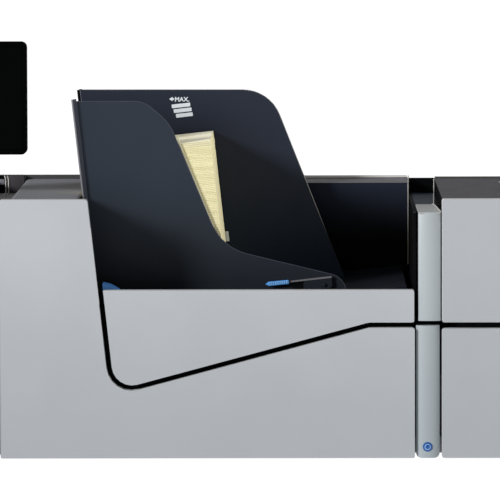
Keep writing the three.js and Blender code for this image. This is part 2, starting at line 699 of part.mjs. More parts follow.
place(machine, 'pillar_left_lower', mirrorX(pillarLower(PILLAR.left)), LIGHT_PANEL);
place(machine, 'pillar_left_upper', mirrorX(pillarUpper()), LIGHT_PANEL);
place(machine, 'right_bridge', rightBridge(), BLACK_PLASTIC);
place(machine, 'left_bridge', leftBridge(), BLACK_PLASTIC);

place(machine, 'feeder_front_door', feederDoor(), LIGHT_PANEL);
place(machine, 'feeder_inner_panel', feederInnerPanel(), BLACK_PLASTIC);
place(machine, 'feeder_head', feederHead(), DARK_TOP);
place(machine, 'hopper_rear_wall', hopperRearWall(), BLACK_PLASTIC);
place(machine, 'magazine_hinge_shaft', hingeShaft(), STEEL);

place(machine, 'transport_roller_entry', transportRoller(ENTRY_X), RUBBER);
place(machine, 'transport_roller_exit', transportRoller(EXIT_X), RUBBER);
place(machine, 'drive_motor', driveMotor(), STEEL);
place(machine, 'motor_pulley', motorPulley(), NYLON);
place(machine, 'timing_belt', timingBelt(), RUBBER);
place(machine, 'print_head', printHead(), BLACK_PLASTIC);
place(machine, 'ink_cartridge', inkCartridge(), RED);
place(machine, 'controller_board', controllerBoard(), BOARD_GREEN);
place(machine, 'power_supply', powerSupply(), ZINC_SHEET);
place(machine, 'fluid_tank', fluidTank(), TANK_PLASTIC);
place(machine, 'power_inlet', powerInlet(), BLACK_PLASTIC);
place(machine, 'power_switch', powerSwitch(), BLACK_PLASTIC);
place(machine, 'separator_pad', separatorPad(), RUBBER);
place(machine, 'catch_tray', catchTray(), BLACK_PLASTIC);

place(machine, 'magazine_front_panel', magazineFrontPanel(), LIGHT_PANEL);
place(magazine, 'magazine_deck', magazineDeck(), BLACK_PLASTIC);
place(magazine, 'front_guide', frontGuide(), GUIDE_PLATE);
place(magazine, 'rear_guide', guide(1, REAR_GUIDE, 272), GUIDE_PLATE);
place(magazine, 'front_guide_rack', rack(-1), NYLON);
place(magazine, 'rear_guide_rack', rack(1), NYLON);
place(magazine, 'guide_pinion', guidePinion(), NYLON);
place(magazine, 'guide_release_lever', releaseLever(), BLACK_PLASTIC);
place(magazine, 'release_lever_grip', releaseGrip(), BLUE);
place(magazine, 'magazine_latch_lever', latchLever(), BLUE);
place(magazine, 'feed_shaft', feedShaft(), STEEL);
place(magazine, 'feed_roller_front', feedRoller(-40), RUBBER);
place(magazine, 'feed_roller_rear', feedRoller(40), RUBBER);
place(magazine, 'envelope_stack', envelopeStack(), PAPER);

place(machine, 'display_post', displayPost(), BLACK_PLASTIC);
place(machine, 'display_yoke', displayYoke(), BLACK_PLASTIC);
place(machine, 'display_housing', displayHousing(), BLACK_PLASTIC);
place(machine, 'display_screen', displayScreen(), SCREEN_GLASS);
place(machine, 'start_button', pushButton(-490), GREEN);
place(machine, 'stop_button', pushButton(-462), RED);

export default machine;
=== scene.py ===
"""Looks of the franking machine: fine pieces, materials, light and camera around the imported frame."""

import json
import math
import random

import bmesh
import bpy
from mathutils import Matrix, Quaternion, Vector

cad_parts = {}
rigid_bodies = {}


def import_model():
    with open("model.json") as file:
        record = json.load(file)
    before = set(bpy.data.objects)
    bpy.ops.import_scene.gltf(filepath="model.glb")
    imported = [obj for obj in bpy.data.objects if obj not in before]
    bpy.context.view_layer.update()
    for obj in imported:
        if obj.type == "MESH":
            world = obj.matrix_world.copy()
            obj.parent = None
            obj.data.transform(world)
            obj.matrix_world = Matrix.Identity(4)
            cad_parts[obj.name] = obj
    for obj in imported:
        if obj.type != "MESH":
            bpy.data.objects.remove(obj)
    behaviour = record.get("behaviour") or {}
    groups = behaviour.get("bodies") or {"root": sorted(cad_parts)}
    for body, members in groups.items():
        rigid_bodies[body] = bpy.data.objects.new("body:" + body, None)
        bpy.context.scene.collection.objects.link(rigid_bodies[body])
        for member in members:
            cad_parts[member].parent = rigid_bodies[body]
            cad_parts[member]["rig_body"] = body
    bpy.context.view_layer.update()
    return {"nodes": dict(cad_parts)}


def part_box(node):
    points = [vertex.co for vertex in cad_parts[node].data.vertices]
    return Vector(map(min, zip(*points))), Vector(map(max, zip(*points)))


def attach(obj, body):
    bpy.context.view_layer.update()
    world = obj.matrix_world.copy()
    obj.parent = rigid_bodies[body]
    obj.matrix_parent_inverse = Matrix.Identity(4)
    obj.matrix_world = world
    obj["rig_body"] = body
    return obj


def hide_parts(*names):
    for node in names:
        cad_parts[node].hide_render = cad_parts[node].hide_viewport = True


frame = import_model()
random.seed(7)

MM = 0.001
WELD = 2e-6    # corners this near one another, in metres, are one

# ---------- the magazine's leaning frame: u along the deck, v up the hopper's wall ----------

LEAN = math.radians(6.3)
MAGAZINE = Matrix.Translation(Vector((-139, 0, 164.4)) * MM) @ Matrix.Rotation(-LEAN, 4, "Y")


def in_magazine(u, y, v):
    """A point of the leaning frame, given in millimetres, in the row frame in metres."""
    return MAGAZINE @ (Vector((u, y, v)) * MM)


# ---------- material helpers ----------


def new_material(name):
    """A node material, its node tree and its shader."""
    material = bpy.data.materials.new(name)
    material.use_nodes = True
    tree = material.node_tree
    shader = tree.nodes["Principled BSDF"]
    return material, tree, shader


def add(tree, kind, **values):
    """A node with its properties and its inputs' values set."""
    node = tree.nodes.new(kind)
    for key, value in values.items():
        if hasattr(node, key):
            setattr(node, key, value)
        else:
            node.inputs[key.replace("_", " ")].default_value = value
    return node


def linear(*srgb):
    """An sRGB colour, 0 to 255, as linear RGBA."""
    def one(c):
        c = c / 255
        return c / 12.92 if c <= 0.04045 else ((c + 0.055) / 1.055) ** 2.4
    return (*[one(c) for c in srgb], 1.0)


def mixed(tree, low, high, factor):
    """Colour between low and high. Each is a colour or a socket."""
    mix = tree.nodes.new("ShaderNodeMix")
    mix.data_type = "RGBA"
    tree.links.new(factor, mix.inputs["Factor"])
    for value, socket in ((low, mix.inputs[6]), (high, mix.inputs[7])):
        if isinstance(value, bpy.types.NodeSocket):
            tree.links.new(value, socket)
        else:
            socket.default_value = value
    return mix.outputs[2]


def position(tree, scale=(1, 1, 1)):
    """Object coordinates, stretched by scale."""
    where = tree.nodes.new("ShaderNodeTexCoord")
    stretch = add(tree, "ShaderNodeMapping")
    stretch.inputs["Scale"].default_value = scale
    tree.links.new(where.outputs["Object"], stretch.inputs["Vector"])
    return stretch.outputs["Vector"]


def noise(tree, scale, detail=2.0, stretch=(1, 1, 1)):
    """Noise fixed to the object's own coordinates."""
    node = add(tree, "ShaderNodeTexNoise", Scale=scale, Detail=detail)
    tree.links.new(position(tree, stretch), node.inputs["Vector"])
    return node.outputs["Fac"]


def ranged(tree, value, low, high, out_low, out_high):
    """A smooth step from out_low to out_high as the value goes from low to high."""
    node = tree.nodes.new("ShaderNodeMapRange")
    node.interpolation_type = "SMOOTHSTEP"
    for key, number in (("From Min", low), ("From Max", high), ("To Min", out_low), ("To Max", out_high)):
        node.inputs[key].default_value = number
    tree.links.new(value, node.inputs["Value"])
    return node.outputs["Result"]


def bumped(tree, shader, height, strength, distance):
    """Surface relief in the shader; distance is in metres."""
    bump = add(tree, "ShaderNodeBump", Strength=strength, Distance=distance)
    tree.links.new(height, bump.inputs["Height"])
    tree.links.new(bump.outputs["Normal"], shader.inputs["Normal"])


def along(tree, axis, low, high):
    """0 to 1 between two heights along an axis of the row frame, in metres."""
    split = tree.nodes.new("ShaderNodeSeparateXYZ")
    tree.links.new(position(tree), split.inputs["Vector"])
    return ranged(tree, split.outputs[axis], low, high, 0.0, 1.0)


def shaded(colour, share):
    """A linear colour made darker."""
    return tuple(c * share for c in colour[:3]) + (1.0,)


def painted(name, low, high, roughness, gloss=0.3, grain=700.0, depth=0.04, heights=(0.0, 0.32)):
    """Powder paint or moulded plastic: a slow tone change up the body, painted shade darker towards the
    bottom, mottling, orange peel.

    low and high are sRGB colours at the two heights, the painted shade's two ends, and depth is the peel's,
    in millimetres.
    """
    material, tree, shader = new_material(name)
    # Painted shade: the colour goes from low at the bottom of the body to high further up.
    tone = mixed(tree, linear(*low), linear(*high), along(tree, "Z", *heights))
    mottle = ranged(tree, noise(tree, 9.0, 3.0), 0.3, 0.7, 0.0, 0.12)
    darker = shaded(linear(*low), 0.75)
    tree.links.new(mixed(tree, tone, darker, mottle), shader.inputs["Base Color"])
    rough = ranged(tree, noise(tree, 40.0, 2.0), 0.3, 0.7, roughness - 0.04, roughness + 0.05)
    tree.links.new(rough, shader.inputs["Roughness"])
    shader.inputs["Specular IOR Level"].default_value = gloss
    bumped(tree, shader, noise(tree, grain, 2.0), 0.25, depth * MM)
    return material


def brushed(name, colour, stretch, roughness=0.35):
    """Metal sheet with fine lines along its rolling direction."""
    material, tree, shader = new_material(name)
    lines = noise(tree, 60.0, 4.0, stretch)
    dark = shaded(linear(*colour), 0.7)
    tree.links.new(mixed(tree, dark, linear(*colour), lines), shader.inputs["Base Color"])
    shader.inputs["Metallic"].default_value = 0.85
    rough = ranged(tree, lines, 0.3, 0.7, roughness - 0.1, roughness + 0.1)
    tree.links.new(rough, shader.inputs["Roughness"])
    bumped(tree, shader, lines, 0.15, 0.02 * MM)
    return material


def paper(name, colour, shade, glow=0.0):
    """Envelope paper: layers a little apart in tone, fibres, and a faint glow that paints light on it."""
    material, tree, shader = new_material(name)
    layers = noise(tree, 200.0, 1.0, (0.02, 0.02, 1.0))
    fibre = noise(tree, 900.0, 4.0)
    tone = mixed(tree, linear(*shade), linear(*colour), ranged(tree, layers, 0.42, 0.6, 0.0, 1.0))
    faint = shaded(linear(*colour), 0.9)
    fibrous = mixed(tree, tone, faint, ranged(tree, fibre, 0.4, 0.7, 0.0, 0.4))
    tree.links.new(fibrous, shader.inputs["Base Color"])
    shader.inputs["Roughness"].default_value = 0.9
    shader.inputs["Emission Color"].default_value = linear(*colour)
    shader.inputs["Emission Strength"].default_value = glow
    bumped(tree, shader, fibre, 0.3, 0.04 * MM)
    return material


def glossy(name, colour, roughness, gloss=0.4):
    """Smooth coloured plastic with a slight tone change."""
    material, tree, shader = new_material(name)
    dark = shaded(linear(*colour), 0.75)
    tree.links.new(mixed(tree, dark, linear(*colour), noise(tree, 25.0, 2.0)), shader.inputs["Base Color"])
    shader.inputs["Roughness"].default_value = roughness
    shader.inputs["Specular IOR Level"].default_value = gloss
    bumped(tree, shader, noise(tree, 500.0), 0.1, 0.03 * MM)
    return material


def painted_glow(look, colour, strength):
    """Gives a finished look a faint glow, painted light on a part that is no lamp."""
    shader = MATERIALS[look].node_tree.nodes["Principled BSDF"]
    shader.inputs["Emission Color"].default_value = colour
    shader.inputs["Emission Strength"].default_value = strength


FINE = 900.0        # grain of moulded plastic
SLEEK = 1400.0      # grain of the guides' paint
SOFT = 400.0        # grain of printed marks
GUIDE_SHADE_HEIGHTS = (0.2, 0.36)     # heights between which the guides' painted shade below turns to a painted sheen above, in metres

# Each look: the material slot that it counts as, and its material.
LOOKS = {
    "panel": ("light_panel", painted("panel_paint", (152, 156, 160), (171, 174, 178), 0.45, 0.25)),
    "panel_right": ("light_panel", painted(
        "panel_paint_right", (151, 155, 159), (163, 166, 170), 0.45, 0.25)),
    # Next: a paler copy of the panel paint, a painted highlight on edges that face up or to one side.
    "panel_highlight": ("light_panel", painted("panel_paint_highlight", (206, 208, 210), (214, 214, 214), 0.45)),
    "pillar": ("light_panel", painted("pillar_paint", (142, 150, 154), (160, 166, 170), 0.4, 0.25)),
    "pillar_top": ("light_panel", painted("pillar_top_paint", (152, 154, 153), (154, 156, 155), 0.5, 0.2)),
    "dark_top": ("dark_top", painted(
        "dark_top_plastic", (130, 131, 138), (132, 133, 140), 0.6, 0.12, FINE, 0.08)),
    "dark_top_right": ("dark_top", painted(
        "dark_top_right_plastic", (88, 88, 93), (90, 90, 95), 0.6, 0.1, FINE, 0.08)),
    # Next: a darker copy of the dark top plastic, painted shade on raised edges' front faces and plate
    # edges.
    "lip": ("dark_top", painted("shaded_lip_plastic", (69, 68, 70), (73, 72, 74), 0.6, 0.1, FINE, 0.08)),
    "black": ("black_plastic", painted("black_plastic", (6, 6, 8), (8, 9, 11), 0.55, 0.03, FINE, 0.06)),
    "navy": ("black_plastic", painted("navy_plastic", (39, 49, 60), (41, 51, 63), 0.5, 0.1, FINE, 0.06)),
    # The guides' paint runs from painted shade low down to a painted sheen high up.
    "guide": ("guide_plate", painted(
        "guide_paint", (30, 35, 42), (43, 50, 60), 0.45, 0.12, SLEEK, 0.03, GUIDE_SHADE_HEIGHTS)),
    # Next: a darker, bluer copy of the guide paint, painted shade for the rear guide.
    "guide_rear_shaded": ("guide_plate", painted(
        "guide_rear_paint", (26, 36, 54), (42, 47, 60), 0.45, 0.1, SLEEK, 0.03, GUIDE_SHADE_HEIGHTS)),
    # Next two: paler copies of the guide paint, a painted reflection on the flanges and a painted highlight
    # on their cut edges.
    "guide_flange_reflection": ("guide_plate", painted(
        "guide_flange_paint", (72, 76, 86), (84, 88, 98), 0.5, 0.2, SLEEK, 0.03)),
    "guide_edge_highlight": ("guide_plate", painted(
        "guide_edge_paint", (104, 106, 112), (124, 124, 130), 0.5, 0.3, SLEEK, 0.03)),
    "deck": ("black_plastic", painted("deck_paint", (19, 23, 30), (23, 27, 35), 0.5, 0.05, FINE, 0.05)),
    # Next: painted shade on the hopper's rear wall, black low down and lighter towards the top.
    "rear_wall": ("black_plastic", painted(
        "rear_wall_plastic", (5, 6, 6), (40, 46, 60), 0.5, 0.04, FINE, 0.05, (0.235, 0.322))),
    "rim": ("dark_top", painted("rim_plastic", (98, 97, 103), (102, 101, 107), 0.5, 0.2, FINE, 0.06)),
    # Next: a painted highlight along the tops of the raised edges and the hopper rim.
    "rim_highlight": ("dark_top", painted(
        "rim_edge_plastic", (200, 199, 196), (206, 205, 202), 0.5, 0.3, FINE, 0.06)),
    # Next: a painted highlight on the right top's raised edge, which also glows strongly.
    "lip_right_highlight": ("dark_top", painted(
        "lip_right_plastic", (142, 138, 136), (146, 142, 140), 0.5, 0.2, FINE, 0.06)),
    # Next two: painted highlights along the guides' cut edges; the second fades out towards the bottom.
    "guide_bead_highlight": ("guide_plate", painted(
        "guide_bead_paint", (66, 68, 80), (70, 72, 84), 0.5, 0.2, SLEEK, 0.03)),
    "guide_line_highlight": ("guide_plate", painted(
        "guide_line_paint", (30, 34, 42), (196, 196, 200), 0.5, 0.3, SLEEK, 0.03, (0.245, 0.3))),
    "lip_left": ("dark_top", painted("lip_left_plastic", (64, 62, 66), (68, 66, 70), 0.6, 0.1, FINE, 0.08)),
    # Next: paper-coloured and lit from within, painted light over the front guide's shadow on the stack.
    "cream_painted_light": ("guide_plate", painted("cream_edge", (214, 208, 164), (220, 214, 170), 0.5, 0.2, FINE, 0.03)),
    "blue": ("blue_plastic", glossy("blue_plastic", (80, 160, 234), 0.4)),
    # Next: a darker copy of the blue, painted shade on the levers' faces that turn away from the front.
    "blue_shaded": ("blue_plastic", glossy("blue_plastic_shaded", (18, 58, 104), 0.4)),
    "blue_light": ("blue_plastic", glossy("blue_plastic_light", (150, 196, 236), 0.4)),
    "badge": ("blue_plastic", glossy("badge_blue", (16, 74, 142), 0.3)),
    "badge_ring": ("nylon", glossy("badge_ring", (150, 180, 214), 0.3)),
    "glass": ("screen_glass", glossy("screen_glass", (2, 3, 3), 0.12, 0.02)),
    "bezel": ("black_plastic", painted("bezel_plastic", (2, 3, 3), (3, 4, 4), 0.5, 0.01, FINE, 0.03)),
    "paper": ("paper", paper("paper_manila", (217, 209, 163), (205, 197, 151))),
    # Next: paler copies of the paper that glow, painted light on the stack's top and right end, and a
    # greyer copy that paints shade near the top.
    "paper_lit_top": ("paper", paper("paper_lit_top", (252, 247, 220), (244, 238, 206), 0.18)),
    "paper_shaded_band": ("paper", paper("paper_shaded_band", (204, 198, 160), (198, 192, 154))),
    "paper_lit_end": ("paper", paper("paper_lit_end", (252, 242, 192), (246, 236, 184), 0.5)),
    "label": ("nylon", painted("label_print", (222, 230, 238), (228, 236, 244), 0.6, 0.2, SOFT, 0.02)),
    # Next two: painted highlights along sheet edges; the second fades out towards the bottom.
    "trim": ("nylon", painted("trim_highlight", (176, 174, 170), (188, 186, 182), 0.4)),
    "trim_dim_highlight": ("nylon", painted(
        "trim_dim_highlight", (150, 150, 146), (200, 200, 194), 0.4, 0.3, FINE, 0.03, (0.24, 0.32))),
    "steel": ("steel", brushed("brushed_steel", (176, 180, 184), (1, 0.02, 1))),
    "zinc": ("zinc_sheet", brushed("zinc_sheet", (160, 163, 168), (0.05, 1, 1), 0.45)),
    "rubber": ("rubber", painted("rubber_black", (28, 28, 30), (34, 34, 36), 0.85, 0.1, 500.0, 0.1)),
    "nylon": ("nylon", painted("nylon_white", (214, 211, 202), (226, 223, 215), 0.5, 0.3, 500.0)),
    "board": ("circuit_board", painted("board_green", (22, 84, 52), (34, 98, 62), 0.4, 0.3, 300.0, 0.05)),
    "tank": ("tank_plastic", glossy("tank_plastic", (205, 218, 228), 0.2)),
    "red": ("red_plastic", glossy("red_plastic", (182, 58, 46), 0.35)),
    "green": ("green_plastic", glossy("green_plastic", (58, 152, 84), 0.35)),
}
MATERIALS = {look: material for look, (_, material) in LOOKS.items()}

# Painted light: faint glows on the rim plastic and its highlight, the right lip's highlight, the bead over
# the guide's shadow, and the blue levers where they lie in shadow.
WARM_WHITE = (1.0, 1.0, 0.9, 1.0)
for look, strength in {"rim_highlight": 0.03, "rim": 0.02, "lip_right_highlight": 0.26, "cream_painted_light": 0.12}.items():
    painted_glow(look, WARM_WHITE, strength)
painted_glow("blue", linear(110, 170, 255), 0.1)


# ---------- piece helpers ----------


def placed(name, data):
    """A new object in the scene."""
    thing = bpy.data.objects.new(name, data)
    bpy.context.scene.collection.objects.link(thing)
    return thing


def finished(work, name):
    """The worked shape as a mesh."""
    mesh = bpy.data.meshes.new(name)
    work.to_mesh(mesh)
    work.free()
    return mesh


def as_object(name, mesh, look, body, smooth=35):
    """Puts a mesh in the scene as a piece that rides on a body."""
    piece = placed(name, mesh)
    mesh.materials.append(MATERIALS[look])
    mesh.shade_smooth()
    mesh.set_sharp_from_angle(angle=math.radians(smooth))
    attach(piece, body)
    return piece


def applied(piece):
    """Turns the piece's modifiers into its mesh."""
    graph = bpy.context.evaluated_depsgraph_get()
    mesh = bpy.data.meshes.new_from_object(piece.evaluated_get(graph))
    piece.modifiers.clear()
    piece.data = mesh


def cut(piece, cutter):
    """Takes the cutter's shape out of the piece, and the cutter out of the scene."""
    holes = piece.modifiers.new("holes", "BOOLEAN")
    holes.object = cutter
    holes.solver = "EXACT"
    applied(piece)
    bpy.data.objects.remove(cutter)


def bevelled(piece, width, segments):
    """Rounds the piece's sharp edges; the width is in millimetres."""
    bevel = piece.modifiers.new("edge", "BEVEL")
    bevel.width = width * MM
    bevel.segments = segments
    bevel.limit_method = "ANGLE"
    bevel.angle_limit = math.radians(40)
    bevel.miter_outer = "MITER_ARC"
    bevel.use_clamp_overlap = True
    applied(piece)


def even_shading(piece):
    """Lets the large flat faces set the shading, so that only the rounded edges turn."""
    piece.data.shade_smooth()
    piece.data.set_sharp_from_angle(angle=math.radians(50))
    even = piece.modifiers.new("even", "WEIGHTED_NORMAL")
    even.mode = "FACE_AREA"
    even.weight = 100
    even.keep_sharp = True
    applied(piece)


def rounded(node, look, width, segments=3, others=(), cutter=None, shape=None):
    """The CAD node's shape with its sharp edges rounded, shown in its place.

    others holds (look, test) pairs: a face goes to the first look whose test(centre, normal) holds.
    shape moves each corner first. cutter is a mesh whose shape is then cut out.
    """
    source = frame["nodes"][node]
    work = bmesh.new()
    work.from_mesh(source.data)
    bmesh.ops.remove_doubles(work, verts=work.verts, dist=WELD)
    if shape:
        for vert in work.verts:
            vert.co = shape(vert.co)
    piece = as_object(node + "_finish", finished(work, node + "_shape"), look, source["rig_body"])
    if cutter:
        cut(piece, placed(node + "_cutter", cutter))
    bevelled(piece, width, segments)
    for other, _ in others:
        piece.data.materials.append(MATERIALS[other])
    for face in piece.data.polygons:
        centre = face.center / MM
        hits = [k for k, (_, test) in enumerate(others) if test(centre, face.normal)]
        face.material_index = hits[0] + 1 if hits else 0
    even_shading(piece)
    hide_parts(node)


def box_mesh(name, low, high, bevel=0.3, segments=2, frame_matrix=None):
    """A block with rounded edges between two corners, in millimetres."""
    work = bmesh.new()
    bmesh.ops.create_cube(work, size=1.0)
    size = Vector(high) - Vector(low)
    middle = (Vector(high) + Vector(low)) / 2
    for vert in work.verts:
        vert.co = Vector([vert.co[i] * size[i] + middle[i] for i in range(3)]) * MM
    bmesh.ops.bevel(
        work, geom=list(work.edges), offset=bevel * MM, segments=segments, profile=0.5, affect="EDGES")
    if frame_matrix:
        work.transform(frame_matrix)
    return finished(work, name)


def block(name, low, high, look, body):
    """A block as a piece of its own."""
    as_object(name, box_mesh(name, low, high), look, body)


def joined(name, meshes):
    """Several meshes as one."""
    work = bmesh.new()
    for mesh in meshes:
        work.from_mesh(mesh)
        bpy.data.meshes.remove(mesh)
    return finished(work, name)


def merged(name, meshes, look, body):
    """Several meshes as one piece."""
    return as_object(name, joined(name, meshes), look, body)


def push_out(work, ring, push):
    """A face through the ring's points, in metres, pushed out into a closed shape."""
    face = work.faces.new([work.verts.new(point) for point in ring])
    pushed = bmesh.ops.extrude_face_region(work, geom=[face])
    moved = [part for part in pushed["geom"] if isinstance(part, bmesh.types.BMVert)]
    bmesh.ops.translate(work, vec=push, verts=moved)
    bmesh.ops.recalc_face_normals(work, faces=work.faces)


def prism_mesh(name, points, axis, low, high, bevel=0.3, frame_matrix=None):
    """An outline pushed along x, y or z from low to high, in millimetres, with rounded edges."""
    place = {"x": lambda a, b: (low, a, b), "y": lambda a, b: (a, low, b), "z": lambda a, b: (a, b, low)}
    push = Vector([high - low if letter == axis else 0 for letter in "xyz"]) * MM
    work = bmesh.new()
    push_out(work, [Vector(place[axis](a, b)) * MM for a, b in points], push)
    if bevel:
        bmesh.ops.bevel(
            work, geom=[e for e in work.edges if e.calc_face_angle(0) > 0.6],
            offset=bevel * MM, segments=2, profile=0.5, affect="EDGES", clamp_overlap=True)
    if frame_matrix:
        work.transform(frame_matrix)
    return finished(work, name)


def circle(cx, cz, radius, count=32):
    """A ring of points around a centre."""
    return [
        (cx + radius * math.cos(2 * math.pi * k / count), cz + radius * math.sin(2 * math.pi * k / count))
        for k in range(count)
    ]


def rounded_rectangle(x0, x1, z0, z1, radius, steps=6):
    """The outline of a rectangle with round corners, each of so many steps."""
    points = []
    corners = ((x1 - radius, z0 + radius, -90), (x1 - radius, z1 - radius, 0),
               (x0 + radius, z1 - radius, 90), (x0 + radius, z0 + radius, 180))
    for cx, cz, start in corners:
        for k in range(steps + 1):
            angle = math.radians(start + 90 * k / steps)
            points.append((cx + radius * math.cos(angle), cz + radius * math.sin(angle)))
    return points


def curve_mesh(name, curve):
    """The curve's shape as a mesh."""
    holder = placed(name, curve)
    graph = bpy.context.evaluated_depsgraph_get()
    mesh = bpy.data.meshes.new_from_object(holder.evaluated_get(graph))
    bpy.data.objects.remove(holder)
    return mesh


def swept(name, points, radius, look, body):
    """A thin round bead along points in metres; its radius is in millimetres."""
    curve = bpy.data.curves.new(name, "CURVE")
    curve.dimensions = "3D"
    curve.bevel_depth = radius * MM
    curve.bevel_resolution = 2
    spline = curve.splines.new("POLY")
    spline.points.add(len(points) - 1)
    for point, where in zip(spline.points, points):
        point.co = (*where, 1.0)
    curve.use_fill_caps = True
    return as_object(name, curve_mesh(name + "_path", curve), look, body)


def metres(*points):
    """Points given in millimetres."""
    return [Vector(point) * MM for point in points]


# ---------- covers, doors and plates: the CAD shapes with rounded edges ----------


def slots_mesh(columns, rows, place):
    """A grid of rounded slots. place(a, b) gives one slot as a mesh."""
    return joined("slots", [place(a, b) for a in columns for b in rows])


def rear_vent(x, z):
    """One upright slot through the rear cover."""
    return prism_mesh("vent", rounded_rectangle(x - 2.5, x + 2.5, z - 16, z + 16, 2.4), "y", 215, 230, 0)


def side_vent(y, z):
    """One upright slot through the right casing's end wall."""
    return prism_mesh("vent", rounded_rectangle(y - 2.5, y + 2.5, z - 14, z + 14, 2.4), "x", 510, 525, 0)


def screw_pocket(x, z):
    """The round pocket that a screw of the rear cover sits in."""
    return prism_mesh("pocket", circle(x, z, 5.2, 24), "y", 222.8, 226, 0)


REAR_VENTS = [[-430 + 12 * k for k in range(18)], (60, 104)]
SIDE_VENTS = [[30 + 12 * k for k in range(12)], (60,)]
SCREW_PLACES = [(x, z) for x in (-500, -170, 170, 500) for z in (24, 284)]


def make_screws():
    """Hexagon socket screws, sunk into the rear cover's pockets."""
    heads = [prism_mesh("head", circle(x, z, 4.4, 24), "y", 222.6, 224.6, 0.5) for x, z in SCREW_PLACES]
    screws = merged("rear_cover_screws", heads, "steel", "chassis")
    sockets = [prism_mesh("socket", circle(x, z, 2.3, 6), "y", 223.4, 226, 0) for x, z in SCREW_PLACES]
    cut(screws, merged("socket_cutter", sockets, "black", "chassis"))


FRONT = -224.4                               # foremost line of the pillars and the feeder door
PILLAR_BOW = {"upper": 3.2, "lower": 5.2}    # how far the nose stands out before its sides
CAD_FRONT, CAD_BOW = -225, 9                 # the lower pillars' own in the CAD


def flatter(corner):
    """Presses the lower pillar's nose to a slighter bow. Corners behind the nose stay."""
    depth = corner.y / MM - CAD_FRONT
    if depth > CAD_BOW + 0.1:
        return corner
    return Vector((corner.x, (depth * PILLAR_BOW["lower"] / CAD_BOW + FRONT) * MM, corner.z))


def make_covers():
    """The light covers and doors, with paler front edges that are a painted highlight, and the lower
    pillars.
    """
    def top_highlight(centre, normal):
        return normal.z > 0.5 and centre.y < -208

    def door_highlight(centre, normal):
        return normal.x > 0.5 and centre.x < 0 or top_highlight(centre, normal)

    def casing_highlight(centre, normal):
        return normal.x < -0.25 and centre.y < -200 or top_highlight(centre, normal)

    # The paler look on these edges is a painted highlight.
    rounded("feeder_front_door", "panel", 0.7, others=[("panel_highlight", door_highlight)])
    for node in ("magazine_front_panel", "left_casing", "ink_door"):
        rounded(node, "panel", 0.7, others=[("panel_highlight", top_highlight)])
    casing_highlight_looks = [("panel_highlight", casing_highlight)]
    side_vents = slots_mesh(*SIDE_VENTS, side_vent)
    rounded("right_casing", "panel_right", 0.9, others=casing_highlight_looks, cutter=side_vents)
    rounded("right_upper_front", "panel_right", 0.9, others=casing_highlight_looks)
    pockets = [screw_pocket(x, z) for x, z in SCREW_PLACES]
    rear_holes = joined("rear_holes", [slots_mesh(*REAR_VENTS, rear_vent), *pockets])
    rounded("rear_cover", "panel", 1.0, cutter=rear_holes)
    for side in ("left", "right"):
        rounded(f"pillar_{side}_lower", "pillar", 0.5, shape=flatter)


PLATE_LOW = 317.9      # the top covers' plates lie above this height
LIP_LOW = 319          # and their raised rear edges above this one
BRIDGE_HIGH = 305      # the sunken bridges' floors lie below this one


def make_tops():
    """The dark tops, their raised rear edges, and the sunken bridges between them; the edges' front faces
    get painted shade and their tops a painted highlight.
    """
    def shaded_front_lip(centre, normal):
        return centre.z > PLATE_LOW and normal.y < -0.5

    def highlighted_raised_edge(centre, normal):
        return centre.z > LIP_LOW and centre.y > 180

    def head_wall(centre, normal):
        return centre.z < 314 or normal.x > 0.8

    def grip_wall(centre, normal):
        return normal.x < -0.8 and centre.y < 200 and centre.z < 317

    def shaded_plate_edge(centre, normal):
        return centre.z > 317.7 and normal.z < 0.5

    def bridge_floor(centre, normal):
        return normal.z > 0.8 and centre.z < BRIDGE_HIGH

    # Painted shade on the raised edges' front faces, a painted highlight on their tops.
    lip_shade_and_highlight = [("lip", shaded_front_lip), ("rim_highlight", highlighted_raised_edge)]
    rounded("left_top_cover", "dark_top", 1.0, others=lip_shade_and_highlight)
    rounded("feeder_head", "dark_top", 0.9, others=[*lip_shade_and_highlight, ("black", head_wall)])
    # Painted shade on the plate's cut edges, a painted highlight on its raised edge.
    right = [("black", grip_wall), ("lip", shaded_plate_edge), ("lip_right_highlight", lambda c, n: c.z > LIP_LOW)]
    rounded("right_top_cover", "dark_top_right", 0.9, others=right)
    # A painted highlight along the hopper rim's top.
    rim = [("rim_highlight", lambda c, n: c.z > 318.4), ("rim", lambda c, n: c.z > 314.7)]
    rounded("hopper_rear_wall", "rear_wall", 0.9, others=rim)
    rounded("right_bridge", "black", 0.6, others=[("navy", bridge_floor)])
    # Painted shade on the left bridge's faces above the plates.
    left = [("rim", bridge_floor), ("lip", lambda c, n: c.z > PLATE_LOW)]
    rounded("left_bridge", "black", 0.6, others=left)
    rounded("feeder_inner_panel", "black", 0.4)


NOSE_STEPS = 12    # flats along a pillar's bowed nose


